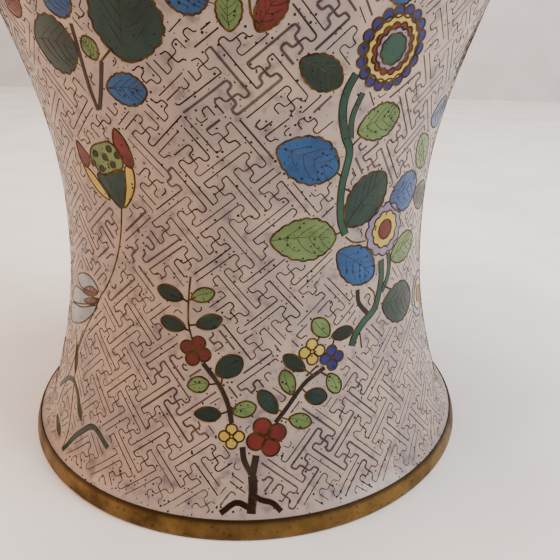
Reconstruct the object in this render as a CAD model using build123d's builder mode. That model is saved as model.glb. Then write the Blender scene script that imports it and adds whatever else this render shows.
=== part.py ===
from build123d import *
from math import atan2, cos, degrees, hypot, radians, sin
import os

os.makedirs("parts", exist_ok=True)

# ---- Vessel sizes, mm ----
foot_radius = 75.0
foot_rim_height = 5.6
foot_rim_wall = 2.6
foot_rim_step = 2.0           # brass that shows outside the enamel, seen from above
foot_rim_bevel = 0.9
foot_lean = -52.5             # degrees the wall leans out from upright, as it leaves the foot rim
flare_radius = 65.8
flare_height = 20.0
flare_lean = -18.0
waist_radius = 57.2
waist_height = 76.0
belly_radius = 69.4
belly_height = 135.0
belly_lean = 19.5
shoulder_radius = 101.0
shoulder_height = 275.0
neck_base_radius = 63.0
neck_base_height = 325.0
neck_base_lean = -48.0
neck_radius = 43.0
neck_height = 360.0
mouth_radius = 61.0
mouth_height = 396.0
mouth_lean = 45.0
mouth_rim_length = 3.0        # along the wall
mouth_rim_proud = 0.4         # brass that stands out past the enamel, inside and out
mouth_rim_round = 1.0
curve_fullness = 0.36         # share of each span that its tangent handles take

# ---- Walls and coats, mm ----
enamel_thickness = 1.0
copper_thickness = 1.4
inner_enamel_thickness = 0.5
base_enamel_thickness = 0.6
base_recess = 11.0            # floor to the underside of the base enamel
lap_height = 6.0
belly_seam = 165.0            # height of the seam between the two body sections
neck_seam = 322.0

# ---- Cells ----
cell_gap = 0.4                # ground or wire between two neighbouring cells
prism_reach = 2.6             # how far a cell's cutter stands either side of the wall face

copper_face = enamel_thickness
copper_middle = enamel_thickness + copper_thickness / 2
copper_back = enamel_thickness + copper_thickness
inner_face = copper_back + inner_enamel_thickness
plate_bottom = base_recess + base_enamel_thickness
plate_top = plate_bottom + copper_thickness
floor_top = plate_top + inner_enamel_thickness
above_mouth = mouth_height + 20.0
clear_radius = 2 * max(foot_radius, shoulder_radius)

wall_knots = [
    (foot_radius - foot_rim_step, foot_rim_height, foot_lean),
    (flare_radius, flare_height, flare_lean),
    (waist_radius, waist_height, 0.0),
    (belly_radius, belly_height, belly_lean),
    (shoulder_radius, shoulder_height, 0.0),
    (neck_base_radius, neck_base_height, neck_base_lean),
    (neck_radius, neck_height, 0.0),
    (mouth_radius, mouth_height, mouth_lean),
]


def knots_under(depth):
    """The wall's knots, moved square to the wall to lie this far under its finished face."""
    return [
        (radius - depth * cos(radians(lean)), height + depth * sin(radians(lean)), lean)
        for radius, height, lean in wall_knots
    ]


def wall_spans(depth):
    """Four control points, as (radius, height), for each smooth span of the wall."""
    spans = []
    knots = knots_under(depth)
    for (r0, z0, lean0), (r1, z1, lean1) in zip(knots[:-1], knots[1:]):
        handle = curve_fullness * hypot(r1 - r0, z1 - z0)
        leave = (r0 + handle * sin(radians(lean0)), z0 + handle * cos(radians(lean0)))
        arrive = (r1 - handle * sin(radians(lean1)), z1 - handle * cos(radians(lean1)))
        spans.append([(r0, z0), leave, arrive, (r1, z1)])
    return spans


def slab(low, high):
    """Keep only what lies between two heights."""
    with Locations((0, 0, low)):
        Cylinder(
            clear_radius,
            high - low,
            align=(Align.CENTER, Align.CENTER, Align.MIN),
            mode=Mode.INTERSECT,
        )


def wall_band(outer_depth, inner_depth, low, high):
    """The part of the wall between two depths under its face and between two heights."""
    outer = wall_spans(outer_depth)
    inner = wall_spans(inner_depth)
    with BuildPart(mode=Mode.PRIVATE) as band:
        with BuildSketch(Plane.XZ):
            with BuildLine():
                for span in outer:
                    Bezier(*span)
                Line(outer[-1][-1], inner[-1][-1])
                for span in inner:
                    Bezier(*span)
                Line(inner[0][0], outer[0][0])
            make_face()
        revolve(axis=Axis.Z)
        slab(low, high)
    return band.part


def disc_inside(depth, low, high):
    """A disc that fills the vessel from axis to wall, between two heights."""
    wall = wall_spans(depth)
    start = wall[0][0]
    end = wall[-1][-1]
    with BuildPart(mode=Mode.PRIVATE) as disc:
        with BuildSketch(Plane.XZ):
            with BuildLine():
                for span in wall:
                    Bezier(*span)
                Polyline(end, (0, end[1]), (0, start[1]), start)
            make_face()
        revolve(axis=Axis.Z)
        slab(low, high)
    return disc.part


with BuildLine(Plane.XZ, mode=Mode.PRIVATE) as wall_face:
    for span in wall_spans(0):
        Bezier(*span)
wall_line = wall_face.wire()


def wall_plane(angle, rise, turn=0.0):
    """Plane on the wall's face: degrees round from the front, mm up the wall from the foot rim."""
    spot = wall_line.position_at(rise, position_mode=PositionMode.LENGTH)
    along = wall_line.tangent_at(rise, position_mode=PositionMode.LENGTH)
    around = radians(angle)
    origin = (spot.X * sin(around), -spot.X * cos(around), spot.Z)
    outward = (along.Z * sin(around), -along.Z * cos(around), -along.X)
    plane = Plane(origin=origin, x_dir=(cos(around), sin(around), 0), z_dir=outward)
    return plane.rotated((0, 0, turn))


def save(part, label):
    part.label = label
    export_step(part, "parts/" + label + ".step")
    print(label, len(part.solids()), "solids")


# ---- Metal vessel ----
with BuildPart() as lower_body:
    add(wall_band(copper_face, copper_back, 0, belly_seam))
    add(wall_band(copper_middle, copper_back, belly_seam, belly_seam + lap_height))
save(lower_body.part, "lower_body")

with BuildPart() as upper_body:
    add(wall_band(copper_face, copper_middle, belly_seam, belly_seam + lap_height))
    add(wall_band(copper_face, copper_back, belly_seam + lap_height, neck_seam))
    add(wall_band(copper_middle, copper_back, neck_seam, neck_seam + lap_height))
save(upper_body.part, "upper_body")

with BuildPart() as neck:
    add(wall_band(copper_face, copper_middle, neck_seam, neck_seam + lap_height))
    add(wall_band(copper_face, copper_back, neck_seam + lap_height, above_mouth))
save(neck.part, "neck")

with BuildPart() as base_plate:
    add(disc_inside(copper_back, plate_bottom, plate_top))
save(base_plate.part, "base_plate")

# The foot rim's inner top edge is a seat, square to the wall, that the copper and enamel stand on.
seat_outer = knots_under(0)[0]
seat_inner = knots_under(copper_back)[0]
with BuildPart() as foot_rim:
    with BuildSketch(Plane.XZ):
        with BuildLine():
            Polyline(
                (seat_outer[0], seat_outer[1]),
                (seat_inner[0], seat_inner[1]),
                (seat_inner[0], foot_rim_height / 3),
                (foot_radius - foot_rim_wall, 0),
                (foot_radius - foot_rim_bevel / 2, 0),
                (foot_radius, foot_rim_bevel),
            )
            ThreePointArc(
                (foot_radius, foot_rim_bevel),
                (foot_radius - foot_rim_step * 0.3, foot_rim_height * 0.65),
                (foot_radius - foot_rim_step + cell_gap, foot_rim_height + cell_gap / 2),
            )
            Line(
                (foot_radius - foot_rim_step + cell_gap, foot_rim_height + cell_gap / 2),
                (seat_outer[0], seat_outer[1]),
            )
        make_face()
    revolve(axis=Axis.Z)
save(foot_rim.part, "foot_rim")

# The mouth rim is a rounded lip that caps the copper and both coats.
lip_out = knots_under(-mouth_rim_proud)[-1]
lip_in = knots_under(inner_face + mouth_rim_proud)[-1]
lip_run = (
    mouth_rim_length * sin(radians(mouth_lean)),
    mouth_rim_length * cos(radians(mouth_lean)),
)
lip_axis = Axis((0, 0, 0), (lip_run[0], 0, lip_run[1]))
with BuildPart() as mouth_rim:
    with BuildSketch(Plane.XZ) as lip:
        with BuildLine():
            Polyline(
                (lip_out[0], lip_out[1]),
                (lip_out[0] + lip_run[0], lip_out[1] + lip_run[1]),
                (lip_in[0] + lip_run[0], lip_in[1] + lip_run[1]),
                (lip_in[0], lip_in[1]),
                close=True,
            )
        make_face()
        lip_tip = lip.vertices().sort_by(lip_axis)[-2:]
        fillet(lip_tip, mouth_rim_round)
    revolve(axis=Axis.Z)
save(mouth_rim.part, "mouth_rim")


# ---- Motif places ----
# Places on the wall are degrees round from the front and mm up the wall from the foot rim.
# A leaf is (angle, rise, length, width, turn); turn is the lean of its length, in degrees.
sprig_dark_leaf_places = [
    (-10.2, 28.3, 7.2, 4.0, 3),
    (-4.9, 41.8, 8.2, 6.0, 35),
    (4.8, 31.8, 8.0, 4.2, 125),
    (11.2, 41.7, 7.0, 3.4, 140),
    (17.2, 31.7, 6.6, 4.6, -15),
    (25.8, 48.0, 7.0, 3.7, 5),
    (-19.8, 52.4, 7.0, 4.2, 170),
    (-10.0, 53.9, 7.2, 4.0, 20),
    (-20.4, 60.8, 7.4, 4.2, 165),
]
sprig_light_leaf_places = [
    (-12.8, 36.3, 6.0, 4.4, 15),
    (-1.1, 30.0, 6.4, 4.4, 15),
    (9.9, 36.8, 7.4, 4.2, 108),
    (12.7, 25.6, 6.6, 4.2, -20),
    (19.4, 50.8, 7.0, 4.8, 130),
    (22.4, 34.3, 6.6, 4.2, -65),
    (-11.5, 61.2, 6.4, 3.8, 20),
]
plant_dark_leaf_places = [
    (14.8, 116.4, 11.5, 7.2, -28),
    (31.6, 85.2, 15.0, 10.5, 47),
    (49.0, 50.6, 16.5, 11.0, -10),
]
plant_light_leaf_places = [
    (14.4, 75.6, 16.5, 10.0, -2),
    (31.6, 104.2, 12.5, 8.0, 18),
    (51.4, 65.6, 12.0, 7.0, 12),
]
plant_blue_leaf_places = [
    (14.3, 96.0, 16.0, 10.0, -22),
    (28.6, 65.4, 13.0, 8.0, -36),
    (50.8, 85.2, 12.0, 8.0, 8),
]
spray_dark_leaf_places = [
    (-41.6, 121.4, 14.0, 12.0, -8),
    (-21.8, 126.4, 16.0, 15.0, 80),
]
spray_blue_leaf_places = [(-25.2, 111.9, 10.6, 6.6, -2)]
lotus_petal_places = [
    (-45.2, 91.6, 10.0, 3.4, 118),
    (-28.6, 93.4, 13.0, 3.4, 78),
]

# A blossom is (angle, rise, petal radius, distance of its petals from its middle, turn).
petal_count = 4
sprig_red_blossom_places = [
    (4.2, 22.1, 2.25, 3.3, -10),
    (-13.6, 45.6, 1.7, 2.5, -22),
]
sprig_yellow_blossom_places = [
    (-4.2, 22.5, 1.3, 2.1, 0),
    (17.0, 44.6, 1.3, 2.2, 0),
]
sprig_blue_blossom_places = [(22.3, 41.7, 1.4, 2.3, 0)]

# A ring of petals is (angle, rise, inside radius, outside radius).
daisy_spot = (30.0, 121.4)
daisy_heart_radius = 3.6
daisy_radius = 9.2
aster_spot = (40.4, 74.6)
aster_heart_radius = 2.7
aster_radius = 7.4
lotus_pod_spot = (-36.6, 91.8)
lotus_pod_radius = 4.6

# A stem is (width, [(angle, rise), ...]).
sprig_bark_stems = [
    (2.2, [(0.4, 2.0), (0.9, 15.0)]),
    (1.1, [(-5.2, 31.5), (-7.6, 37.0)]),
]
sprig_branch_stems = [(1.0, [(8.6, 29.4), (13.0, 35.0)])]
plant_stem_lines = [
    (2.2, [(29.6, 46.0), (37.0, 52.0), (40.0, 62.0)]),
    (2.0, [(24.2, 80.0), (24.0, 96.0)]),
]


# ---- Cell cutters ----
def leaf_cells(places):
    with BuildPart(mode=Mode.PRIVATE) as cells:
        for angle, rise, length, width, turn in places:
            with BuildSketch(wall_plane(angle, rise, turn)):
                with BuildLine():
                    ThreePointArc((-length / 2, 0), (0, width / 2), (length / 2, 0))
                    ThreePointArc((length / 2, 0), (0, -width / 2), (-length / 2, 0))
                make_face()
        extrude(amount=prism_reach, both=True)
    return cells.part


def blossom_cells(places):
    with BuildPart(mode=Mode.PRIVATE) as cells:
        for angle, rise, radius, reach, turn in places:
            with BuildSketch(wall_plane(angle, rise, turn)):
                with PolarLocations(reach, petal_count):
                    Circle(radius)
        extrude(amount=prism_reach, both=True)
    return cells.part


def ring_cell(spot, inside, outside):
    with BuildPart(mode=Mode.PRIVATE) as cells:
        with BuildSketch(wall_plane(*spot)):
            Circle(outside)
            if inside:
                Circle(inside, mode=Mode.SUBTRACT)
        extrude(amount=prism_reach, both=True)
    return cells.part


def stem_cells(lines):
    with BuildPart(mode=Mode.PRIVATE) as cells:
        for width, points in lines:
            for (angle0, rise0), (angle1, rise1) in zip(points[:-1], points[1:]):
                middle = wall_plane((angle0 + angle1) / 2, (rise0 + rise1) / 2)
                start = middle.to_local_coords(wall_plane(angle0, rise0).origin)
                end = middle.to_local_coords(wall_plane(angle1, rise1).origin)
                with BuildSketch(middle):
                    SlotCenterToCenter(
                        hypot(end.X - start.X, end.Y - start.Y),
                        width,
                        rotation=degrees(atan2(end.Y - start.Y, end.X - start.X)),
                    )
        extrude(amount=prism_reach, both=True)
    return cells.part


cells = {
    "sprig_red_blossoms": blossom_cells(sprig_red_blossom_places),
    "sprig_yellow_blossoms": blossom_cells(sprig_yellow_blossom_places),
    "sprig_blue_blossom": blossom_cells(sprig_blue_blossom_places),
    "sprig_dark_leaves": leaf_cells(sprig_dark_leaf_places),
    "sprig_light_leaves": leaf_cells(sprig_light_leaf_places),
    "sprig_bark": stem_cells(sprig_bark_stems),
    "sprig_branch": stem_cells(sprig_branch_stems),
    "daisy_petals": ring_cell(daisy_spot, daisy_heart_radius, daisy_radius),
    "daisy_heart": ring_cell(daisy_spot, 0, daisy_heart_radius),
    "aster_petals": ring_cell(aster_spot, aster_heart_radius, aster_radius),
    "aster_heart": ring_cell(aster_spot, 0, aster_heart_radius),
    "plant_dark_leaves": leaf_cells(plant_dark_leaf_places),
    "plant_light_leaves": leaf_cells(plant_light_leaf_places),
    "plant_blue_leaves": leaf_cells(plant_blue_leaf_places),
    "plant_stems": stem_cells(plant_stem_lines),
    "spray_dark_leaves": leaf_cells(spray_dark_leaf_places),
    "spray_blue_leaf": leaf_cells(spray_blue_leaf_places),
    "lotus_pod": ring_cell(lotus_pod_spot, 0, lotus_pod_radius),
    "lotus_petals": leaf_cells(lotus_petal_places),
}

enamel_coat = wall_band(0, copper_face, 0, belly_seam)
for label, cutter in cells.items():
    with BuildPart() as fill:
        add(cutter)
        add(enamel_coat, mode=Mode.INTERSECT)
    save(fill.part, label)

# ---- Enamel coats ----
with BuildPart() as lower_ground_enamel:
    add(wall_band(0, copper_face, 0, belly_seam))
    add(list(cells.values()), mode=Mode.SUBTRACT)
save(lower_ground_enamel.part, "lower_ground_enamel")

with BuildPart() as upper_ground_enamel:
    add(wall_band(0, copper_face, belly_seam, neck_seam))
save(upper_ground_enamel.part, "upper_ground_enamel")

with BuildPart() as neck_ground_enamel:
    add(wall_band(0, copper_face, neck_seam, above_mouth))
save(neck_ground_enamel.part, "neck_ground_enamel")

with BuildPart() as lower_inner_enamel:
    add(wall_band(copper_back, inner_face, plate_top, belly_seam))
    add(disc_inside(inner_face, plate_top, floor_top))
save(lower_inner_enamel.part, "lower_inner_enamel")

with BuildPart() as upper_inner_enamel:
    add(wall_band(copper_back, inner_face, belly_seam, neck_seam))
save(upper_inner_enamel.part, "upper_inner_enamel")

with BuildPart() as neck_inner_enamel:
    add(wall_band(copper_back, inner_face, neck_seam, above_mouth))
save(neck_inner_enamel.part, "neck_inner_enamel")

with BuildPart() as base_enamel:
    add(disc_inside(copper_back, base_recess, plate_bottom))
save(base_enamel.part, "base_enamel")
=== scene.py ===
import math
import random
import bpy
import numpy as np
from mathutils import Matrix


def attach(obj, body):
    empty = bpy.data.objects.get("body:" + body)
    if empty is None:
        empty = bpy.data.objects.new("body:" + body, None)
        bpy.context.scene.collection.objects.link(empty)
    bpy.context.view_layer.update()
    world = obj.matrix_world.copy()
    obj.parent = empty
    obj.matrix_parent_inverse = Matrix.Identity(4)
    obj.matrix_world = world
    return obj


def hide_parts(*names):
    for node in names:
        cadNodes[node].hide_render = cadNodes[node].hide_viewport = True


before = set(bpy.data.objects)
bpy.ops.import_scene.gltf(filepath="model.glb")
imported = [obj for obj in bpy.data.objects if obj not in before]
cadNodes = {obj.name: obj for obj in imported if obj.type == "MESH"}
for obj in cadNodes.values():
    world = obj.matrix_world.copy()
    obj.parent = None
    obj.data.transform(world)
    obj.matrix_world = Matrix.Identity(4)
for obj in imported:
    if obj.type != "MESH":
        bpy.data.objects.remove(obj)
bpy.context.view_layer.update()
mm = 0.001

# The vase wall: one smooth outline, turned round the Z axis.
# Places on it are degrees round from the front and mm up the wall from the foot rim.
wall = {
    # radius and height in mm, then the lean of the wall out from upright in degrees
    "knots": [
        (73.0, 5.6, -52.5), (65.8, 20.0, -18.0), (57.2, 76.0, 0.0), (69.4, 135.0, 19.5),
        (101.0, 275.0, 0.0), (63.0, 325.0, -48.0), (43.0, 360.0, 0.0), (61.0, 396.0, 45.0),
    ],
    "fullness": 0.36,  # share of a span that its tangent handles take
    "steps": 160,
    "coat": 1.0,  # thickness of the ground enamel
    "rowGap": 1.9,
    "turnSteps": 256,
}


def traceWall():
    share = np.linspace(0, 1, wall["steps"], endpoint=False)
    runs = []
    for (r0, z0, lean0), (r1, z1, lean1) in zip(wall["knots"], wall["knots"][1:]):
        reach = wall["fullness"] * math.hypot(r1 - r0, z1 - z0)
        lean0, lean1 = math.radians(lean0), math.radians(lean1)
        corners = np.array([
            (r0, z0),
            (r0 + reach * math.sin(lean0), z0 + reach * math.cos(lean0)),
            (r1 - reach * math.sin(lean1), z1 - reach * math.cos(lean1)),
            (r1, z1),
        ])
        weights = np.array([
            (1 - share) ** 3, 3 * share * (1 - share) ** 2, 3 * share**2 * (1 - share), share**3
        ])
        runs.append(weights.T @ corners)
    runs.append(np.array([wall["knots"][-1][:2]]))
    line = np.vstack(runs)
    rise = np.append(0, np.cumsum(np.hypot(*np.diff(line, axis=0).T)))
    slope = np.gradient(line, rise, axis=0)
    return rise, line[:, 0], line[:, 1], np.arctan2(slope[:, 0], slope[:, 1])


wallRise, wallRadius, wallHeight, wallLean = traceWall()
topRise = float(wallRise[-1])


def radiusAt(rise):
    return np.interp(rise, wallRise, wallRadius)


def leanAt(rise):
    return np.interp(rise, wallRise, wallLean)


def onWall(angle, rise, lift=0.0):
    # points in metres, lift mm proud of the finished face
    around, lean = np.radians(angle), leanAt(rise)
    radius = (np.interp(rise, wallRise, wallRadius) + lift * np.cos(lean)) * mm
    height = (np.interp(rise, wallRise, wallHeight) - lift * np.sin(lean)) * mm
    return np.stack([radius * np.sin(around), -radius * np.cos(around), height], axis=-1)


def offTheWall(angle, rise):
    around, lean = np.radians(angle), leanAt(rise)
    return np.stack(
        [np.cos(lean) * np.sin(around), -np.cos(lean) * np.cos(around), -np.sin(lean)], axis=-1
    )


# materials: colours are sRGB hex codes, and linear() is the one place that converts them
def linear(hexColour):
    channels = [int(hexColour[i:i + 2], 16) / 255 for i in (1, 3, 5)]
    return [c / 12.92 if c <= 0.04045 else ((c + 0.055) / 1.055) ** 2.4 for c in channels] + [1.0]


def addNode(tree, kind, settings=None, links=None):
    node = tree.nodes.new(kind)
    for key, value in (settings or {}).items():
        if isinstance(key, int) or key in node.inputs:
            node.inputs[key].default_value = value
        else:
            setattr(node, key, value)
    for key, source in (links or {}).items():
        tree.links.new(source, node.inputs[key])
    return node


def newMaterial(name):
    material = bpy.data.materials.new(name)
    material.use_nodes = True
    material.node_tree.nodes.clear()
    return material, material.node_tree


def finishMaterial(tree, settings, links):
    shader = addNode(tree, "ShaderNodeBsdfPrincipled", settings, links)
    addNode(tree, "ShaderNodeOutputMaterial", links={"Surface": shader.outputs["BSDF"]})


def band(tree, source, low, high, lowValue=0.0, highValue=1.0):
    node = addNode(tree, "ShaderNodeMapRange", {
        "From Min": low, "From Max": high, "To Min": lowValue, "To Max": highValue,
    }, {"Value": source})
    return node.outputs["Result"]


def mixColour(tree, share, first, second, mode="MIX"):
    node = addNode(tree, "ShaderNodeMix", {"data_type": "RGBA", "blend_type": mode})
    for slot, value in ((0, share), (6, first), (7, second)):
        if isinstance(value, (float, list)):
            node.inputs[slot].default_value = value
        else:
            tree.links.new(value, node.inputs[slot])
    return node.outputs[2]


def noise(tree, place, grain, detail=2.0):
    # grain is the size in mm of one patch of the noise
    return addNode(tree, "ShaderNodeTexNoise", {"Scale": 1000 / grain, "Detail": detail},
                   {"Vector": place}).outputs["Fac"]


def glassEnamel(name, main, cloud, stain, pitColour, pitGap=1.5, pitSize=0.16, pitShare=0.5,
                stainShare=0.6, roughness=0.3):
    # Fired glass enamel, ground flat and polished: satin gloss, cloudy colour, open gas pits.
    material, tree = newMaterial(name)
    place = addNode(tree, "ShaderNodeTexCoord").outputs["Object"]
    clouds = band(tree, noise(tree, place, 11.0, 3.0), 0.38, 0.62)
    stains = band(tree, noise(tree, place, 3.4, 4.0), 0.52, 0.72, 0.0, stainShare)
    cells = addNode(tree, "ShaderNodeTexVoronoi", {"Scale": 1000 / pitGap}, {"Vector": place})
    # one cell in so many is pitted, and the pits differ in size
    chosen = addNode(tree, "ShaderNodeSeparateColor", links={"Color": cells.outputs["Color"]})
    edge = band(tree, chosen.outputs["Red"], 1 - pitShare, 1.0, 0.0, pitSize)
    closeness = addNode(tree, "ShaderNodeMath", {"operation": "SUBTRACT"},
                        {0: edge, 1: cells.outputs["Distance"]}).outputs[0]
    pits = band(tree, closeness, -0.02, 0.03)
    colour = mixColour(tree, clouds, linear(main), linear(cloud))
    colour = mixColour(tree, stains, colour, linear(stain))
    colour = mixColour(tree, pits, colour, linear(pitColour))
    ripple = noise(tree, place, 2.2, 2.0)
    height = addNode(tree, "ShaderNodeMath", {"operation": "MULTIPLY_ADD", 1: -0.6},
                     {0: pits, 2: ripple}).outputs[0]
    bump = addNode(tree, "ShaderNodeBump", {"Strength": 0.35, "Distance": 0.00012},
                   {"Height": height})
    rough = band(tree, pits, 0.0, 1.0, roughness, 0.7)
    finishMaterial(tree, {"IOR": 1.5, "Specular IOR Level": 0.2}, {
        "Base Color": colour, "Roughness": rough, "Normal": bump.outputs["Normal"],
    })
    return material


def agedMetal(name, bright, worn, dirt, grain=5.0, roughness=0.42, grimeHeight=None):
    # Metal with a hand-rubbed patina: warm shine on what is handled, brown where it isn't.
    material, tree = newMaterial(name)
    place = addNode(tree, "ShaderNodeTexCoord").outputs["Object"]
    wear = band(tree, noise(tree, place, grain, 5.0), 0.36, 0.64)
    specks = band(tree, noise(tree, place, grain / 8, 3.0), 0.6, 0.78)
    colour = mixColour(tree, wear, linear(bright), linear(worn))
    colour = mixColour(tree, specks, colour, linear(dirt))
    if grimeHeight:
        # grime that gathers in the joint above this height, in mm
        height = addNode(tree, "ShaderNodeSeparateXYZ", links={"Vector": place}).outputs["Z"]
        grime = band(tree, height, (grimeHeight - 0.9) * mm, grimeHeight * mm, 0.0, 0.85)
        colour = mixColour(tree, grime, colour, linear(dirt))
    rough = band(tree, wear, 0.0, 1.0, roughness, roughness + 0.16)
    bump = addNode(tree, "ShaderNodeBump", {"Strength": 0.3, "Distance": 0.0001}, {
        "Height": noise(tree, place, grain / 4, 4.0),
    })
    finishMaterial(tree, {"Metallic": 1.0}, {
        "Base Color": colour, "Roughness": rough, "Normal": bump.outputs["Normal"],
    })
    return material


enamels = {
    # name: main, cloud, stain, pit colour, pit gap, pit size, pit share, stain share
    "whiteEnamel": ("#A39081", "#8F8079", "#5D5159", "#1A1310", 1.1, 0.33, 0.6, 0.75),
    "stainedEnamel": ("#5E4C42", "#463A40", "#2C2224", "#1C1512", 1.2, 0.3, 0.55, 0.7),
    "darkGreenEnamel": ("#0F1F1A", "#182F28", "#091612", "#030605", 1.1, 0.26, 0.5, 0.5),
    "lightGreenEnamel": ("#52663A", "#627646", "#374D26", "#10150B", 1.0, 0.36, 0.8, 0.6),
    "blueEnamel": ("#193B62", "#234A74", "#11294A", "#070D18", 1.0, 0.36, 0.8, 0.5),
    "cobaltEnamel": ("#1B1B54", "#232464", "#13133C", "#070716", 1.1, 0.26, 0.6, 0.5),
    "redEnamel": ("#551A15", "#64221B", "#3A100E", "#140605", 1.1, 0.3, 0.6, 0.6),
    "yellowEnamel": ("#A38C3C", "#B29C52", "#78672B", "#241C0E", 1.0, 0.34, 0.7, 0.5),
    "lilacEnamel": ("#6B6078", "#81778D", "#504662", "#1F1A26", 1.1, 0.3, 0.6, 0.5),
    "paleEnamel": ("#75818A", "#8B949A", "#5A656F", "#2A2E32", 1.3, 0.28, 0.5, 0.6),
    "stemEnamel": ("#17352A", "#204333", "#0F251D", "#060C09", 1.1, 0.26, 0.5, 0.5),
    "barkEnamel": ("#170F0A", "#281B11", "#0D0806", "#070504", 1.1, 0.26, 0.5, 0.6),
    "turquoiseEnamel": ("#3F9C9C", "#55ADA8", "#2F7F84", "#1C3A3C", 1.8, 0.18, 0.5, 0.5),
}
materials = {name: glassEnamel(name, *values) for name, values in enamels.items()}
materials["agedBrass"] = agedMetal("agedBrass", "#785E34", "#544124", "#302417", 9.0, 0.46, 5.4)
materials["wireBrass"] = agedMetal("wireBrass", "#3E2E20", "#2A1E18", "#140E0B", 6.0, 0.45)
materials["outlineBrass"] = agedMetal("outlineBrass", "#54411F", "#352717", "#160F0B", 3.0, 0.42)
materials["rawCopper"] = agedMetal("rawCopper", "#B5714C", "#8C5436", "#4A2E22", 9.0, 0.36)


# cells and wires lie on a wall that curves both ways, so their points are worked out in code
class MeshParts:
    # gathers the points and faces of one piece before it is made
    def __init__(self):
        self.points, self.faces, self.count = [], [], 0

    def add(self, points, faces):
        self.points.append(np.asarray(points, float))
        self.faces.append([[i + self.count for i in face] for face in faces])
        self.count += len(points)


def makePiece(name, parts, materialName, smoothAngle=40.0):
    mesh = bpy.data.meshes.new(name)
    faces = [face for group in parts.faces for face in group]
    mesh.from_pydata(np.vstack(parts.points).tolist(), [], faces)
    piece = bpy.data.objects.new(name, mesh)
    bpy.context.collection.objects.link(piece)
    finishPiece(piece, materialName, smoothAngle)
    return piece


def selectOnly(piece):
    bpy.ops.object.select_all(action="DESELECT")
    piece.select_set(True)
    bpy.context.view_layer.objects.active = piece


def finishPiece(piece, materialName, smoothAngle=40.0):
    selectOnly(piece)
    bpy.ops.object.shade_smooth_by_angle(angle=math.radians(smoothAngle))
    piece.data.materials.clear()
    piece.data.materials.append(materials[materialName])
    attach(piece, "root")


def lathe(name, profile, steps, materialName):
    # a closed section, spun round the Z axis
    bpy.ops.object.select_all(action="DESELECT")
    bpy.ops.mesh.primitive_circle_add(vertices=len(profile), radius=0.01)
    piece = bpy.context.object
    piece.name = name
    for vertex, (radius, height) in zip(piece.data.vertices, profile):
        vertex.co = (radius, 0, height)
    bpy.ops.object.mode_set(mode="EDIT")
    bpy.ops.mesh.select_all(action="SELECT")
    bpy.ops.mesh.spin(steps=steps, angle=2 * math.pi, center=(0, 0, 0), axis=(0, 0, 1))
    bpy.ops.mesh.select_all(action="SELECT")
    bpy.ops.mesh.remove_doubles(threshold=0.000002)
    bpy.ops.mesh.normals_make_consistent(inside=False)
    bpy.ops.object.mode_set(mode="OBJECT")
    finishPiece(piece, materialName)
    return piece


def splinePoint(a, b, c, d, t):
    # a point of the soft curve from b to c, with a and d as its neighbours
    return 0.5 * (2 * b + (c - a) * t + (2 * a - 5 * b + 4 * c - d) * t**2
                  + (3 * b - a - 3 * c + d) * t**3)


def smoothLine(points, step=0.9):
    # a soft curve through given (angle, rise) points, sampled every step mm
    points = np.array(points, float)
    ends = np.vstack([2 * points[0] - points[1], points, 2 * points[-1] - points[-2]])
    out = [points[0]]
    for a, b, c, d in zip(ends, ends[1:], ends[2:], ends[3:]):
        across = np.radians(c[0] - b[0]) * radiusAt((b[1] + c[1]) / 2)
        pieces = max(2, int(math.hypot(across, c[1] - b[1]) / step))
        out += [splinePoint(a, b, c, d, k / pieces) for k in range(1, pieces + 1)]
    return np.array(out)


def strip(parts, line, widths, top, bottom, section, closed=False):
    # a raised band along an (angle, rise) line; section is (across, up) shares of its width
    line = np.asarray(line, float)
    count = len(line)
    base, normal = onWall(line[:, 0], line[:, 1]), offTheWall(line[:, 0], line[:, 1])
    if closed:
        along = np.roll(base, -1, axis=0) - np.roll(base, 1, axis=0)
    else:
        along = np.gradient(base, axis=0)
    side = np.cross(normal, along)
    side /= np.maximum(np.linalg.norm(side, axis=1, keepdims=True), 1e-12)
    half = (np.broadcast_to(widths, count) * mm / 2)[:, None]
    rings = [
        base + side * half * across + normal * mm * (bottom + (top - bottom) * up)
        for across, up in section
    ]
    sides = len(section)
    points = np.stack(rings, axis=1).reshape(-1, 3)
    faces = []
    for i in range(count if closed else count - 1):
        j = (i + 1) % count
        for k in range(sides):
            m = (k + 1) % sides
            faces.append((i * sides + k, i * sides + m, j * sides + m, j * sides + k))
    if not closed:
        faces.append(tuple(range(sides - 1, -1, -1)))
        faces.append(tuple((count - 1) * sides + k for k in range(sides)))
    parts.add(points, faces)


ridge = [(1, 0), (0, 1), (-1, 0)]
flatTop = [(1, 0), (0.82, 1), (-0.82, 1), (-1, 0)]
cell = {
    "depth": 0.25,  # mm that a fill goes down into the ground coat
    "ringShares": [1.0, 0.8, 0.55, 0.28],  # rings that let its top follow the wall
}


def tile(parts, outline, lift):
    # a flat-topped fill inside a closed (angle, rise) outline that its middle can see all of
    outline = np.asarray(outline, float)
    middle = outline.mean(axis=0)
    count = len(outline)
    shares = cell["ringShares"]
    rings = [middle + (outline - middle) * share for share in shares]
    top = [onWall(level[:, 0], level[:, 1], lift) for level in rings]
    under = [onWall(level[:, 0], level[:, 1], -cell["depth"]) for level in rings]
    points = np.vstack(top + [onWall(middle[:1], middle[1:], lift)]
                       + under + [onWall(middle[:1], middle[1:], -cell["depth"])])
    half = len(shares) * count + 1
    faces = []
    for i in range(count):
        j = (i + 1) % count
        for level in range(len(shares) - 1):
            a, b = level * count, (level + 1) * count
            faces.append((a + i, a + j, b + j, b + i))
            faces.append((half + a + j, half + a + i, half + b + i, half + b + j))
        last = (len(shares) - 1) * count
        faces.append((last + i, last + j, half - 1))
        faces.append((half + last + j, half + last + i, 2 * half - 1))
        faces.append((half + i, half + j, j, i))
    parts.add(points, faces)


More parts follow.
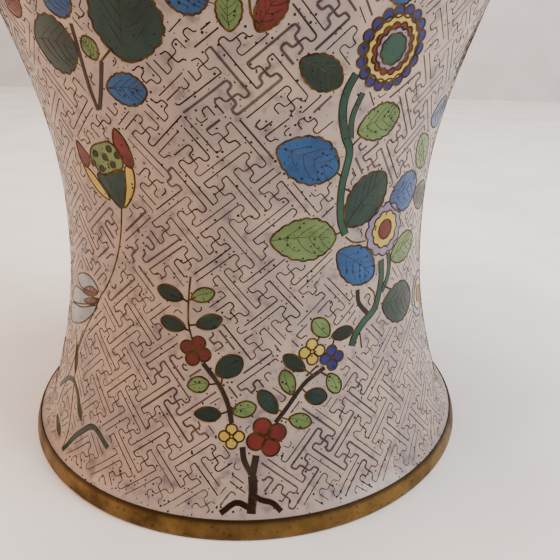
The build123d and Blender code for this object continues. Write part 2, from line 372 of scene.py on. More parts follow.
# motifs: flat shapes in mm are laid on the wall at an (angle, rise) spot
def leafOutline(length, width, scallops, count=44):
    # a pointed leaf along x, with a wavy edge when it has scallops
    turn = np.linspace(0, 2 * np.pi, count, endpoint=False)
    along = np.cos(turn)
    across = np.sin(turn) * (1 - 0.32 * np.abs(along) ** 3) * (1 + 0.10 * along)
    if scallops:
        across *= 1 + 0.10 * np.abs(np.sin(scallops * turn))
    return np.stack([along * length / 2, across * width / 2], axis=1)


def place(spot, flat, turn=0.0):
    # puts flat (x right, y up) shapes in mm on the wall at (angle, rise)
    flat = np.atleast_2d(flat)
    c, s = math.cos(math.radians(turn)), math.sin(math.radians(turn))
    x, y = flat[:, 0] * c - flat[:, 1] * s, flat[:, 0] * s + flat[:, 1] * c
    rise = spot[1] + y
    return np.stack([spot[0] + np.degrees(x / radiusAt(rise)), rise], axis=1)


def ring(radius, lobes=0, depth=0.0, count=36):
    turn = np.linspace(0, 2 * np.pi, count, endpoint=False)
    reach = radius * (1 + depth * np.abs(np.cos(lobes * turn / 2)))
    return np.stack([reach * np.cos(turn), reach * np.sin(turn)], axis=1)


fills = {}
outlines, veins = MeshParts(), MeshParts()
keepClear = []
# mm across the wall face, or up from it
wire = {
    "fretWidth": 0.54, "outlineWidth": 0.5, "veinWidth": 0.3, "heartWidth": 0.3,
    "stemEdge": 0.4, "thinStem": 0.8, "stainWidth": 1.2,
    "proud": 0.10, "sunk": -0.06, "fillProud": 0.04, "overFill": 0.07,
    "layerStep": 0.035,  # how much higher each ring of a rosette stands
    "stemProud": 0.07, "stemDepth": -0.2, "stemEdgeProud": 0.13, "stainProud": 0.06,
}


def fillFor(colour):
    return fills.setdefault(colour, MeshParts())


def cloison(colour, outline, layer=0, clear=True, width=None):
    # one enamel cell and the wire round it
    lift = wire["fillProud"] + wire["layerStep"] * layer
    tile(fillFor(colour), outline, lift)
    strip(outlines, outline, width or wire["outlineWidth"], lift + wire["overFill"],
          wire["sunk"], flatTop, closed=True)
    if clear:
        keepClear.append((np.asarray(outline), 0.0))


def softOutline(points, parts=4):
    # a closed smooth outline through given points
    points = np.array(points, float)
    out = []
    for start in range(len(points)):
        a, b, c, d = (points[(start + n) % len(points)] for n in (-1, 0, 1, 2))
        out += [splinePoint(a, b, c, d, k / parts) for k in range(parts)]
    return np.array(out)


def leaf(colour, spot, scalloped):
    angle, rise, length, width, turn = spot
    shape = leafOutline(length, width, 9 if scalloped else 0, 66 if scalloped else 36)
    cloison(colour, place((angle, rise), shape, turn))
    top = wire["fillProud"] + wire["overFill"]
    bow = 0.06 * width
    stalk = [(-length * 0.5, 0), (-length * 0.2, bow), (length * 0.15, bow), (length * 0.40, 0)]
    spine = smoothLine(place((angle, rise), stalk, turn), 1.2)
    strip(veins, spine, wire["veinWidth"], top, wire["sunk"], ridge)
    if scalloped:
        for share in (-0.30, -0.12, 0.06, 0.22):
            for side in (1, -1):
                reach = width * 0.40 * (1 - (1.5 * share) ** 2)
                twig = [(share * length, bow), (share * length + reach * 0.5, side * reach * 0.55),
                        (share * length + reach * 1.15, side * reach * 0.95)]
                twig = smoothLine(place((angle, rise), twig, turn), 1.2)
                strip(veins, twig, wire["veinWidth"], top, wire["sunk"], ridge)


def stem(colour, width, points):
    # a ribbon of enamel between two wires
    line = smoothLine(points)
    strip(fillFor(colour), line, width, wire["stemProud"], wire["stemDepth"], flatTop)
    keepClear.append((line, width / 2))
    across = np.gradient(line, axis=0)
    across[:, 0] = np.radians(across[:, 0]) * radiusAt(line[:, 1])
    across /= np.linalg.norm(across, axis=1, keepdims=True)
    for side in (1, -1):
        edge = line.copy()
        edge[:, 0] += np.degrees(-side * across[:, 1] * width / 2 / radiusAt(line[:, 1]))
        edge[:, 1] += side * across[:, 0] * width / 2
        strip(outlines, edge, wire["stemEdge"], wire["stemEdgeProud"], wire["sunk"], ridge)


def thinStem(points):
    line = smoothLine(points)
    strip(outlines, line, wire["thinStem"], wire["stemEdgeProud"], wire["sunk"], ridge)
    keepClear.append((line, wire["thinStem"] / 2))


def spotsRound(middle, reach, count, turn=0.0):
    # count spots on the wall, spaced evenly at reach mm round the middle
    for k in range(count):
        way = math.radians(turn + k * 360 / count)
        yield place(middle, [(reach * math.cos(way), reach * math.sin(way))])[0]


def blossom(colour, heart, angle, rise, radius, reach, turn, petals=4):
    for spot in spotsRound((angle, rise), reach, petals, turn):
        cloison(colour, place(spot, ring(radius, count=22)))
    cloison(heart, place((angle, rise), ring(reach * 0.26, count=12)), layer=1,
            width=wire["heartWidth"])


def rosette(spot, rings):
    # rings, from the outside in: colour, radius, lobes and how deep they are
    for layer, (colour, radius, lobes, depth) in enumerate(rings):
        shape = ring(radius, lobes, depth, max(28, lobes * 6))
        cloison(colour, place(spot, shape), layer=layer, clear=layer == 0)


sprig = {
    "darkGreenEnamel": [
        (-10.2, 28.3, 7.2, 4.0, 3), (-4.9, 41.8, 8.2, 6.0, 35), (4.8, 31.8, 8.0, 4.2, 125),
        (11.8, 42.0, 7.4, 3.8, 140), (17.2, 31.7, 6.6, 4.6, -15), (25.8, 48.0, 7.0, 3.7, 5),
        (-19.8, 52.4, 7.0, 4.2, 170), (-10.0, 53.9, 7.2, 4.0, 20), (-20.4, 60.8, 7.4, 4.2, 165),
    ],
    "lightGreenEnamel": [
        (-12.8, 36.3, 6.0, 4.4, 15), (-1.1, 30.0, 6.4, 4.4, 15), (9.9, 36.8, 7.4, 4.2, 108),
        (12.7, 25.6, 6.6, 4.2, -20), (19.4, 50.8, 7.0, 4.8, 130), (22.4, 34.3, 6.6, 4.2, -65),
        (-11.5, 61.2, 6.4, 3.8, 20),
    ],
    # colour, heart, angle, rise, petal radius, reach, turn
    "blossoms": [
        ("redEnamel", "redEnamel", 4.2, 22.1, 2.45, 3.1, 20),
        ("redEnamel", "redEnamel", -13.6, 45.6, 1.9, 2.4, -20),
        ("yellowEnamel", "yellowEnamel", -4.2, 22.5, 1.5, 1.95, 0),
        ("yellowEnamel", "yellowEnamel", 16.7, 44.5, 1.6, 2.1, 0),
        ("cobaltEnamel", "cobaltEnamel", 22.3, 41.7, 1.55, 2.05, 0),
    ],
    "stems": [
        ("barkEnamel", 2.2, [(0.3, 1.5), (0.8, 7.5), (0.7, 11.5)]),
        ("barkEnamel", 1.6, [(0.7, 11.5), (1.2, 14.6), (1.6, 17.2)]),
        ("barkEnamel", 1.3, [(0.4, 12), (-1.2, 16), (-1.6, 19.6)]),
        ("barkEnamel", 1.4, [(0, 3), (-3, 4.4), (-6.3, 1.6)]),
        ("barkEnamel", 1.3, [(0.8, 6.5), (2.4, 5), (5, 4), (6.8, 1.6)]),
        ("barkEnamel", 1.1, [(-4.2, 26.2), (-5.2, 31.5), (-7.6, 37), (-11.6, 42.4)]),
        ("barkEnamel", 1.0, [(6.5, 26), (10, 30.5), (12.6, 34), (15.4, 36.8), (20, 39.3)]),
    ],
    "wires": [
        [(-14.4, 48.6), (-15.3, 52), (-15.5, 56), (-15.2, 61), (-14.6, 66)],
        [(15, 38), (18, 40.3)], [(-4.9, 29.5), (-7, 28.6)], [(-4.8, 30), (-3, 30.2)],
        [(-7.6, 37), (-10, 36.6)], [(-7, 36), (-6.6, 39)], [(7.5, 27.5), (10, 26.2)],
        [(8.4, 28.6), (7.2, 29.6)], [(12, 33.2), (11, 34.4)], [(13.5, 34.6), (14.8, 33)],
        [(17, 37.6), (13.8, 40.4)], [(18.4, 38.6), (20.6, 37)], [(-15, 51), (-17, 51.6)],
        [(-15.1, 52.6), (-13, 53)], [(-15.1, 58.8), (-17.4, 60)], [(-15, 59.6), (-13.4, 60.4)],
        [(18, 47), (19, 48.4)], [(22.4, 44.6), (23.4, 47.4)],
    ],
}
plant = {
    "darkGreenEnamel": [
        (14.8, 116.4, 11.5, 7.2, -28), (31.8, 84.2, 17, 11.5, 47), (49, 50.6, 17.5, 11.5, -10),
        (61.5, 80, 14, 8, -14), (84, 66, 15, 9, 24),
    ],
    "blueEnamel": [
        (14.3, 96, 17, 10.8, -22), (30.2, 66.6, 15.5, 9.6, -36), (48.2, 83.6, 14.5, 10.5, 8),
        (60, 104, 12, 8, 10), (82, 110, 14, 9, 30),
    ],
    "lightGreenEnamel": [
        (14.4, 75.6, 17.5, 10.4, -2), (31.6, 104.2, 13, 8.4, 18), (50.8, 66.9, 14, 8, 12),
        (54.6, 94, 13, 7.4, -48), (85, 88, 14, 8.4, 12),
    ],
    "stems": [
        ("stemEnamel", 2.2, [(28.6, 43.5), (30, 46.6), (33.5, 49.8), (37, 52), (39, 56),
                             (40, 61), (39.6, 66)]),
        ("stemEnamel", 1.6, [(40.2, 56.4), (42.6, 59.6), (43.4, 63.6), (42.6, 67.4)]),
        ("barkEnamel", 1.2, [(34.6, 51.4), (31.4, 55.4), (30.8, 59.4)]),
        ("stemEnamel", 2.0, [(26, 75.6), (24.2, 80), (23.6, 88), (24.5, 97), (22.6, 101.4),
                             (20.9, 107), (21, 112), (22.4, 116)]),
        ("stemEnamel", 1.4, [(24.2, 100.6), (23.6, 106), (25, 111.6)]),
        ("stemEnamel", 2.0, [(78, 22), (76, 36), (74, 50), (72, 62), (73, 76), (72, 92),
                             (69, 104), (69.4, 112)]),
        ("stemEnamel", 1.4, [(75.6, 40), (72, 44)]),
    ],
    "wires": [
        [(35, 59), (37, 57), (38, 53)], [(31.5, 47), (32, 42)], [(26, 75), (29, 73), (33, 72.8)],
        [(22.5, 76), (25, 76.5)], [(21.5, 92.5), (23.6, 91)], [(24.4, 88), (26.5, 87)],
        [(25, 99), (27, 101)], [(44.5, 56), (41, 58)], [(43.2, 64), (45, 65)],
    ],
}
spray = {
    "darkGreenEnamel": [(-41.6, 121.4, 15, 12.4, -8), (-21.8, 126.4, 17, 16, 80)],
    "blueEnamel": [
        (-25.2, 111.9, 10.6, 7, -2), (-35.8, 130.8, 8.6, 7, 10), (-9.6, 131.6, 9, 7, 10),
        (28.2, 134.4, 9, 7, 8),
    ],
    "lightGreenEnamel": [(-31.4, 120.8, 5.4, 4.2, 110), (-2.8, 128.8, 8, 5, 90)],
    "redEnamel": [(4.2, 129.2, 10, 5.6, 60), (-52, 130.4, 9, 6, 10)],
    "stems": [
        ("barkEnamel", 0.9, [(-34.4, 106.4), (-35, 113), (-34.2, 126)]),
        ("barkEnamel", 0.9, [(-33.8, 106.8), (-31.6, 112), (-29.4, 118)]),
    ],
    "wires": [
        [(-29.5, 118), (-26, 121)], [(-30, 112), (-28.4, 112)], [(0.5, 134), (1, 128), (3, 126)],
    ],
}
lotus = {
    "cells": [
        ("darkGreenEnamel", [(-40.6, 89.4), (-37, 90.2), (-33.4, 91.2), (-30.9, 91.6),
                             (-31.2, 87), (-33.2, 81.8), (-36.8, 84.2)]),
        ("redEnamel", [(-46.4, 97.6), (-43.6, 95.6), (-42.2, 93.6), (-44.4, 90.8),
                       (-46.6, 92.8)]),
        ("redEnamel", [(-32.2, 98.6), (-31, 102.4), (-28.6, 99.6), (-27.4, 94.8),
                       (-28.4, 92.8), (-30.4, 94.2)]),
        ("yellowEnamel", [(-46, 91.4), (-43.6, 90.6), (-41, 88.4), (-37.2, 83.6),
                          (-40.4, 84.4), (-44, 87.6)]),
        ("yellowEnamel", [(-30.2, 92.8), (-28, 92.4), (-28.2, 88.2), (-30, 84.6),
                          (-32.6, 82), (-31, 87.4)]),
        ("paleEnamel", [(-46.6, 55), (-49, 58.2), (-54, 58.6), (-60, 56), (-57, 53.4)]),
        ("paleEnamel", [(-46.4, 52.6), (-56, 48.4), (-66, 46), (-64, 51), (-58, 52.4)]),
        ("paleEnamel", [(-47, 51), (-51, 46.2), (-57, 42), (-66, 39), (-67, 44.6), (-57, 47)]),
        ("redEnamel", [(-56, 52.6), (-51, 55.6), (-47, 55.4), (-47.6, 54), (-52, 52.4)]),
        ("redEnamel", [(-55, 50), (-50.4, 52.2), (-46.4, 53.2), (-47, 52), (-51, 50)]),
    ],
    "pod": [(-41.6, 93.9), (-40.2, 96.8), (-36.8, 98.2), (-33.6, 98.7), (-31.2, 96.6),
            (-30.9, 92.8), (-34.2, 91.4), (-38.4, 89.8)],
    "seeds": [(-39.4, 95.2), (-36.2, 94.7), (-34.2, 97), (-31.9, 95.6), (-41, 92.6),
              (-38.2, 91.5), (-34, 93)],
    "wires": [
        [(-33.6, 81.6), (-34.6, 76), (-36.2, 70), (-39.2, 63), (-43, 57), (-45.2, 54.4),
         (-49, 48), (-53, 42), (-56, 36), (-58, 30)],
        [(-53.4, 2), (-55, 14), (-57, 25), (-59.4, 37)],
        [(-66, 9), (-62.4, 20), (-58.2, 32), (-55, 40.4)],
    ],
    "leaves": [
        (-50.6, 16.8, 6.5, 2.0, -52), (-60.4, 5.6, 8.6, 1.8, -20), (-57.5, 30, 9, 2.0, 100),
    ],
    "stems": [
        ("darkGreenEnamel", 1.5, [(-53, 2), (-51, 7), (-48, 11), (-43, 15), (-37, 11.5)]),
        ("darkGreenEnamel", 1.3, [(-51, 17), (-53, 20.5), (-57, 23), (-62, 21), (-68, 15)]),
    ],
}
peony = {
    "turns": [-25, 65, 155, 245],
    "darkGreenEnamel": [(-13, 165, 15, 8.6, 200), (12.6, 163, 15, 8.6, -28),
                        (11, 199, 15, 8.6, 42)],
    "lightGreenEnamel": [(-5.6, 150.4, 12, 7, 118), (-13.4, 196, 14, 8, 140)],
    "blueEnamel": [(16.6, 181, 14, 8.4, 4), (-15.6, 181, 14, 8.4, 176)],
    "stems": [
        ("stemEnamel", 1.8, [(0, 138), (1.4, 150), (0.4, 162)]),
        ("stemEnamel", 1.4, [(0, 194.4), (-1.6, 206), (-4, 214)]),
    ],
}
shoulderDaisy = {
    "turns": [20, 110, 200, 290],
    "darkGreenEnamel": [(-9, 246, 14, 8, 200), (8.6, 283, 13, 7.4, 46)],
    "lightGreenEnamel": [(9, 244, 14, 8, -24), (-9.4, 281, 13, 7.4, 138)],
    "stems": [("stemEnamel", 1.6, [(0, 228), (1.6, 241), (0, 253.4)])],
}
neckSprig = {
    "turns": [-45, 45, 135, 225],
    "darkGreenEnamel": [(-14, 374, 8, 4.4, 200), (14, 376, 8, 4.4, -20)],
    "lightGreenEnamel": [(0, 389, 8, 4.4, 90)],
    "blossoms": [("redEnamel", "yellowEnamel", 0, 376, 2.3, 3.5, 0)],
}
daisyRings = [
    ("yellowEnamel", 7.2, 18, 0.07), ("redEnamel", 5.2, 14, 0.14),
    ("lilacEnamel", 4.3, 12, 0.12), ("stemEnamel", 3.3, 9, 0.1),
]
asterRings = [
    ("lilacEnamel", 6.8, 12, 0.12), ("yellowEnamel", 4.7, 10, 0.12), ("redEnamel", 2.7, 0, 0.0),
]


def turned(points, turn):
    return [(p[0] + turn, *p[1:]) for p in points]


def layMotif(motif, turn, scalloped):
    for colour in ("darkGreenEnamel", "lightGreenEnamel", "blueEnamel", "redEnamel"):
        for spot in turned(motif.get(colour, []), turn):
            leaf(colour, spot, scalloped)
    for colour, width, points in motif.get("stems", []):
        stem(colour, width, turned(points, turn))
    for points in motif.get("wires", []):
        thinStem(turned(points, turn))
    for colour, heart, angle, rise, radius, reach, lean in motif.get("blossoms", []):
        blossom(colour, heart, angle + turn, rise, radius, reach, lean)


def layDaisy(spot, petals=18, reach=8.2, radius=1.38):
    for middle in spotsRound(spot, reach, petals):
        cloison("cobaltEnamel", place(middle, ring(radius, count=14)))
    rosette(spot, daisyRings)


for halfTurn in (0, 180):
    layMotif(sprig, halfTurn, False)
    layMotif(plant, halfTurn, True)
    layMotif(spray, halfTurn, True)
    layMotif({"wires": lotus["wires"], "darkGreenEnamel": lotus["leaves"],
              "stems": lotus["stems"]}, halfTurn, False)
    for colour, points in lotus["cells"]:
        cloison(colour, softOutline(turned(points, halfTurn)))
    cloison("lightGreenEnamel", softOutline(turned(lotus["pod"], halfTurn)))
    for spot in turned(lotus["seeds"], halfTurn):
        cloison("barkEnamel", place(spot, ring(0.85, count=14)), layer=1, clear=False,
                width=wire["heartWidth"])
    layDaisy((30.0 + halfTurn, 121.4))
    layDaisy((70.0 + halfTurn, 121.0))
    rosette((40.4 + halfTurn, 74.6), asterRings)
    rosette((66.0 + halfTurn, 47.0), asterRings)
for turn in peony["turns"]:
    layMotif(peony, turn, True)
    for middle in spotsRound((turn, 178), 11.0, 8):
        cloison("redEnamel", place(middle, ring(4.0, count=28)))
    rosette((turn, 178), [("lilacEnamel", 7.0, 8, 0.1), ("redEnamel", 4.6, 5, 0.14),
                          ("yellowEnamel", 1.8, 0, 0.0)])
for turn in shoulderDaisy["turns"]:
    layMotif(shoulderDaisy, turn, True)
    layDaisy((turn, 263.0))
for turn in neckSprig["turns"]:
    layMotif(neckSprig, turn, False)
print("motifs laid:", len(keepClear), "outlines")

# key fret: hooked arms on a lattice, laid in patches and cut back round the motifs
fret = {
    "unit": 1.83,  # mm between neighbouring parallel wires
    "margin": 0.75,  # plain ground left round a motif
    "low": 1.4, "high": topRise - 1.2,
    "step": 1.5, "corner": 0.42, "shortest": 2.4,
    # listed patches: angle, rise, tilt in degrees, then the lattice place of that spot
    "patches": [
        (30, 15, 43.6, 8.55, 1.68), (-30, 37.5, 41.6, 7.20, 2.76), (0, 82.5, 38.9, 0.60, 9.86),
        (50, 105, 39.3, 1.83, 6.32), (48, 60, 40.5, 2.4, 6.8), (-40, 96, 40.0, 5.2, 1.1),
        (0, 130, 39.6, 3.0, 8.0),
    ],
    "backRises": (30, 85), "backAngles": (112.5, 157.5, 202.5, 247.5), "backTilt": 41.5,
    # rise of each row of patches above, and how many go round
    "upperRows": ((135, 8), (185, 8), (235, 7), (285, 7), (330, 8), (375, 8), (412, 8)),
    "upperTilt": 41, "tiltShift": 2, "upperStart": 14, "shift": 4,
    "period": 10,  # units after which the lattice repeats
    "reach": 30,  # units that a patch's lattice runs each way from its spot
    "bodyFrom": 130, "upperFrom": 225,  # rises at which the wires go to the next piece
    "seed": 7,
}
# each arm's moves along the two wire directions, for the hooks and for their mirror images
arms = [
    [[(0, 1), (-1, 0), (0, 1), (7, 0)], [(0, -1), (1, 0), (0, -1), (-7, 0)],
     [(1, 0), (0, 1), (1, 0), (0, -7)], [(-1, 0), (0, -1), (-1, 0), (0, 7)]],
    [[(0, 1), (1, 0), (0, 1)], [(0, -1), (-1, 0), (0, -1)],
     [(1, 0), (0, -1), (1, 0)], [(-1, 0), (0, 1), (-1, 0)]],
]


def roundedArm(moves):
    # corner points of an arm, each bend turned into a short arc, in lattice units
    corners = [np.zeros(2)]
    for move in moves:
        corners.append(corners[-1] + move)
    soft, out = fret["corner"], [corners[0]]
    for before, corner, after in zip(corners, corners[1:], corners[2:]):
        back = (before - corner) / np.linalg.norm(before - corner)
        on = (after - corner) / np.linalg.norm(after - corner)
        for t in (0.0, 0.5, 1.0):
            out.append(corner + back * soft * (1 - t) ** 2 + on * soft * t**2)
    out.append(corners[-1])
    fine = [out[0]]
    for a, b in zip(out, out[1:]):
        pieces = max(1, int(np.ceil(np.linalg.norm(b - a) * fret["unit"] / fret["step"])))
        fine += [a + (b - a) * k / pieces for k in range(1, pieces + 1)]
    return np.array(fine)


def restPatches():
    # the rest of the wall: rows of patches, each starting where its maker began it
    chance = random.Random(fret["seed"])
    shift, tiltShift, period = fret["shift"], fret["tiltShift"], fret["period"]
    out = []
    for rise in fret["backRises"]:
        for angle in fret["backAngles"]:
            out.append((angle, rise, fret["backTilt"], chance.uniform(0, period),
                        chance.uniform(0, period)))
    for low, count in fret["upperRows"]:
        for k in range(count):
            angle = (k + 0.5 * (low % 2)) * 360 / count + chance.uniform(-shift, shift)
            out.append((angle + fret["upperStart"], low + chance.uniform(-shift, shift),
                        fret["upperTilt"] + chance.uniform(-tiltShift, tiltShift),
                        chance.uniform(0, period), chance.uniform(0, period)))
    return out


patches = fret["patches"] + restPatches()
patchSpots = np.array([p[:2] for p in patches])


def nearestPatch(angle, rise):
    best, owner = np.full(len(angle), 1e9), np.zeros(len(angle), int)
    for k, (a, s) in enumerate(patchSpots):
        across = (angle - a + 180) % 360 - 180
        far = np.hypot(np.radians(across) * radiusAt((rise + s) / 2), (rise - s) * 1.15)
        closer = far < best
        best[closer], owner[closer] = far[closer], k
    return owner


def unroll(spot, flat):
    # lays a flat pattern on the wall as if on the cone that touches it at the spot
    bend = math.sin(float(leanAt(spot[1]))) / float(radiusAt(spot[1]))
    if abs(bend) < 1e-4:
        return np.stack([spot[0] + np.degrees(flat[:, 0] / radiusAt(spot[1])),
                         spot[1] + flat[:, 1]], axis=1)
    tip = 1 / bend
    up = flat[:, 1] + tip
    sign = math.copysign(1, tip)
    rise = spot[1] + sign * np.hypot(flat[:, 0], up) - tip
    angle = np.arctan2(flat[:, 0] * sign, up * sign) * tip / radiusAt(spot[1])
    return np.stack([spot[0] + np.degrees(angle), rise], axis=1)


def insideOrNear(points, outline, reach, closed):
    # true for (angle, rise) points inside a closed outline or within reach mm of it
    scale = math.radians(1) * float(radiusAt(outline[:, 1].mean()))
    middle = outline[0, 0]
    flat = np.stack([((points[:, 0] - middle + 180) % 360 - 180) * scale, points[:, 1]], axis=1)
    edge = np.stack([(outline[:, 0] - middle) * scale, outline[:, 1]], axis=1)
    low, high = edge.min(axis=0) - reach, edge.max(axis=0) + reach
    near = np.flatnonzero(((flat > low) & (flat < high)).all(axis=1))
    hit = np.zeros(len(points), bool)
    if not len(near):
        return hit
    p = flat[near]
    ends = list(zip(edge, np.roll(edge, -1, axis=0))) if closed else list(zip(edge, edge[1:]))
    inside, close = np.zeros(len(p), bool), np.zeros(len(p), bool)
    for a, b in ends:
        run = b - a
        t = np.clip(((p - a) @ run) / max(run @ run, 1e-9), 0, 1)
        close |= np.hypot(*(p - a - t[:, None] * run).T) < reach
        if closed and a[1] != b[1]:
            crosses = (a[1] > p[:, 1]) != (b[1] > p[:, 1])
            inside ^= crosses & (p[:, 0] < a[0] + (p[:, 1] - a[1]) * run[0] / run[1])
    hit[near] = close | inside
    return hit


def fretLines():
    shapes = [[roundedArm(moves) for moves in group] for group in arms]
    lines, owners = [], []
    period, half = fret["period"], fret["period"] // 2
    crossings = range(-fret["reach"], fret["reach"] + half, half)
    for owner, (angle, rise, tilt, i0, j0) in enumerate(patches):
        c, s = math.cos(math.radians(tilt)), math.sin(math.radians(tilt))
        turn = np.array([(c, s), (s, -c)]) * fret["unit"]
        for i in crossings:
            for j in crossings:
                # hooks and their mirror images take turns along both directions
                for shape in shapes[(i + j) % period // half]:
                    offset = np.array((i, j)) - (i0, j0)
                    lines.append(unroll((angle, rise), (shape + offset) @ turn))
                    owners.append(owner)
    return lines, owners


fretWires = {}
firedStain = MeshParts()


def stained(angle, rise):
    # whether smoke and flux stained the ground beside the wires of this spot
    a = math.radians(angle)
    wave = math.sin(3 * a + rise / 17) + math.sin(7 * a - rise / 9 + 1.3)
    return wave + 0.8 * math.sin(13 * a + rise / 5) > 0.8


def buildFret():
    lines, owners = fretLines()
    sizes = [len(line) for line in lines]
    points = np.vstack(lines)
    patchOf = np.repeat(owners, sizes)
    lineOf = np.repeat(np.arange(len(lines)), sizes)
    keep = (points[:, 1] > fret["low"]) & (points[:, 1] < fret["high"])
    keep &= nearestPatch(points[:, 0], points[:, 1]) == patchOf
    points, lineOf, index = points[keep], lineOf[keep], np.flatnonzero(keep)
    hit = np.zeros(len(points), bool)
    for outline, half in keepClear:
        closed = half == 0.0  # a cell's outline; a stem's line comes with half its width
        hit |= insideOrNear(points, outline, half + fret["margin"], closed)
    points, lineOf, index = points[~hit], lineOf[~hit], index[~hit]
    breaks = np.flatnonzero((np.diff(index) != 1) | (np.diff(lineOf) != 0)) + 1
    chance = random.Random(fret["seed"])
    count = 0
    for run in np.split(points, breaks):
        across = np.radians(np.diff(run[:, 0])) * radiusAt(run[1:, 1])
        if np.hypot(across, np.diff(run[:, 1])).sum() < fret["shortest"]:
            continue
        angle = (float(run[0, 0]) + 180) % 360 - 180
        rise = float(run[0, 1])
        level = ("Lower" if rise < fret["bodyFrom"] else
                 "Body" if rise < fret["upperFrom"] else "Upper")
        side = "Front" if abs(angle) < 90 else "Back"
        parts = fretWires.setdefault("fretWires" + level + side, MeshParts())
        width = wire["fretWidth"] * chance.uniform(0.85, 1.2)
        strip(parts, run, width, wire["proud"] * chance.uniform(0.7, 1.0), wire["sunk"], ridge)
        if stained(angle, rise) and len(run) > 3:
            strip(firedStain, run, wire["stainWidth"] * chance.uniform(0.8, 1.25),
                  wire["stainProud"], wire["sunk"], ridge)
        count += len(run)
    return count


print("fret wire points:", buildFret())

# the pieces that stand for CAD nodes, and the wires
rises = np.arange(0, topRise, wall["rowGap"]).tolist() + [topRise]
outer = [(float(radiusAt(s)) * mm, float(np.interp(s, wallRise, wallHeight)) * mm) for s in rises]
coat = wall["coat"]
inner = [
    ((float(radiusAt(s)) - coat * math.cos(float(leanAt(s)))) * mm,
     (float(np.interp(s, wallRise, wallHeight)) + coat * math.sin(float(leanAt(s)))) * mm)
    for s in rises[::4] + [topRise]
]
ground = lathe("groundEnamel", outer + inner[::-1], wall["turnSteps"], "whiteEnamel")
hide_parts("lower_ground_enamel", "upper_ground_enamel", "neck_ground_enamel")

fillPieces = {
    # colour: piece name, record slot, CAD nodes that it stands for
    "darkGreenEnamel": ("darkGreenCells", "dark_green_enamel",
                        ["sprig_dark_leaves", "plant_dark_leaves", "spray_dark_leaves"]),
    "lightGreenEnamel": ("lightGreenCells", "light_green_enamel",
                         ["sprig_light_leaves", "plant_light_leaves", "lotus_pod",
                          "daisy_heart"]),
    "blueEnamel": ("blueCells", "blue_enamel", ["plant_blue_leaves", "spray_blue_leaf"]),
    "cobaltEnamel": ("cobaltCells", "cobalt_enamel", ["sprig_blue_blossom", "daisy_petals"]),
    "redEnamel": ("redCells", "red_enamel",
                  ["sprig_red_blossoms", "aster_heart", "lotus_petals"]),
    "yellowEnamel": ("yellowCells", "yellow_enamel", ["sprig_yellow_blossoms"]),
    "lilacEnamel": ("lilacCells", "lilac_enamel", ["aster_petals"]),
    "paleEnamel": ("paleCells", "white_enamel", []),
    "stemEnamel": ("stemCells", "mid_green_enamel", ["plant_stems"]),
    "barkEnamel": ("barkCells", "brown_enamel", ["sprig_bark", "sprig_branch"]),
}
for colour, (name, slot, nodes) in fillPieces.items():
    piece = makePiece(name, fills[colour], colour)
    if nodes:
        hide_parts(*nodes)
makePiece("outlineWires", outlines, "outlineBrass", 30.0)
makePiece("firedStain", firedStain, "stainedEnamel", 30.0)
makePiece("veinWires", veins, "outlineBrass", 30.0)
for name, parts in sorted(fretWires.items()):
    makePiece(name, parts, "wireBrass", 30.0)

nodeMaterials = {
    "lower_body": "rawCopper", "upper_body": "rawCopper", "neck": "rawCopper",
    "base_plate": "rawCopper", "foot_rim": "agedBrass", "mouth_rim": "agedBrass",
    "lower_inner_enamel": "turquoiseEnamel", "upper_inner_enamel": "turquoiseEnamel",
    "neck_inner_enamel": "turquoiseEnamel", "base_enamel": "turquoiseEnamel",
}
for node, materialName in nodeMaterials.items():
    cadNodes[node].data.materials.clear()
    cadNodes[node].data.materials.append(materials[materialName])
print("pieces made")

# table, wall behind, light and camera
studio = {
    "table": "#F0EBE6", "tableWorn": "#E6E0DA",
    "wall": "#CFC9C8", "wallWorn": "#C6C0BF",
    "backGap": 1.1, "backLean": 6.0, "backTurn": -12.0, "width": 4.0,
    "world": "#E8E6E6", "worldStrength": 0.22,
    "lightTarget": (0, 0, 0.1),
    # location, size, watts, colour
    "lights": {
        "warmFill": ((-1.0, -0.2, 0.6), 0.7, 11.0, "#FFBE84"),
        "windowLight": ((1.0, -0.4, 0.8), 0.7, 27.0, "#ECEFF6"),
        "topLight": ((-0.1, 0.05, 1.6), 0.9, 37.0, "#FFF8F0"),
    },
}


def paintedBoard(name, main, worn):
    # Matt painted board: near-white, faintly mottled, no shine.
    material, tree = newMaterial(name)
    where = addNode(tree, "ShaderNodeTexCoord").outputs["Object"]
    colour = mixColour(tree, band(tree, noise(tree, where, 60.0, 3.0), 0.35, 0.65),
                       linear(main), linear(worn))
    bump = addNode(tree, "ShaderNodeBump", {"Strength": 0.2, "Distance": 0.0003},
                   {"Height": noise(tree, where, 2.0, 3.0)})
    finishMaterial(tree, {"Roughness": 0.75, "IOR": 1.45},
                   {"Base Color": colour, "Normal": bump.outputs["Normal"]})
    return material


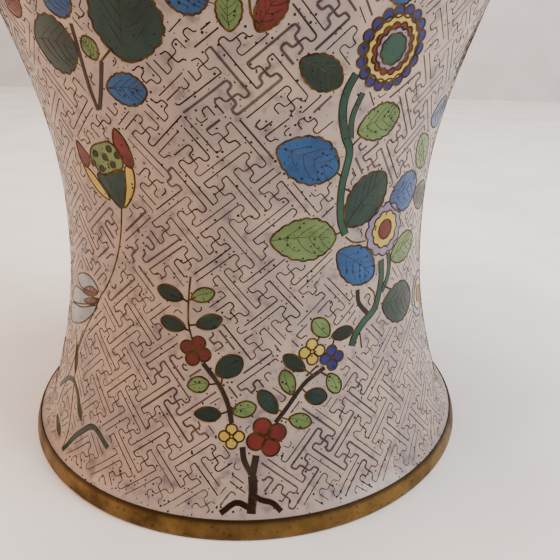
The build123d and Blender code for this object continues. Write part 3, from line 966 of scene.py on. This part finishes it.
tablePaint = paintedBoard("tablePaint", studio["table"], studio["tableWorn"])
wallPaint = paintedBoard("wallPaint", studio["wall"], studio["wallWorn"])
bpy.ops.object.select_all(action="DESELECT")
bpy.ops.mesh.primitive_plane_add(size=studio["width"])
table = bpy.context.object
table.name = "tableTop"
bpy.ops.object.select_all(action="DESELECT")
lean, turn = math.radians(studio["backLean"]), math.radians(studio["backTurn"])
reach = studio["width"] / 2
gap = studio["backGap"] + reach * math.sin(lean)
bpy.ops.mesh.primitive_plane_add(
    size=studio["width"], rotation=(math.pi / 2 - lean, 0, turn),
    location=(-gap * math.sin(turn), gap * math.cos(turn), reach * math.cos(lean)))
backWall = bpy.context.object
backWall.name = "backWall"
table.data.materials.append(tablePaint)
backWall.data.materials.append(wallPaint)

world = bpy.data.worlds.new("softRoom")
world.use_nodes = True
background = world.node_tree.nodes["Background"]
background.inputs["Color"].default_value = linear(studio["world"])
background.inputs["Strength"].default_value = studio["worldStrength"]
bpy.context.scene.world = world

target = np.array(studio["lightTarget"])
for name, (spot, size, watts, colour) in studio["lights"].items():
    lamp = bpy.data.lights.new(name, "AREA")
    lamp.size, lamp.energy = size, watts
    lamp.color = linear(colour)[:3]
    holder = bpy.data.objects.new(name, lamp)
    bpy.context.collection.objects.link(holder)
    holder.location = spot
    away = np.array(spot) - target
    holder.rotation_euler = (math.acos(away[2] / np.linalg.norm(away)), 0,
                             math.atan2(away[1], away[0]) + math.pi / 2)

camera = {
    "location": (0.0, -0.2009, 0.1273), "lens": 39.61, "sensor": 36.0,
    "down": 22.31, "right": 3.233, "roll": 0.751,  # degrees
    "clipStart": 0.01,
}
lensData = bpy.data.cameras.new("sceneCamera")
lensData.lens, lensData.sensor_width = camera["lens"], camera["sensor"]
lensData.clip_start = camera["clipStart"]
viewer = bpy.data.objects.new("sceneCamera", lensData)
bpy.context.collection.objects.link(viewer)
viewer.matrix_world = (
    Matrix.Translation(camera["location"])
    @ Matrix.Rotation(math.radians(-camera["right"]), 4, "Z")
    @ Matrix.Rotation(math.radians(90 - camera["down"]), 4, "X")
    @ Matrix.Rotation(math.radians(camera["roll"]), 4, "Z")
)
bpy.context.scene.camera = viewer


print("scene ready")
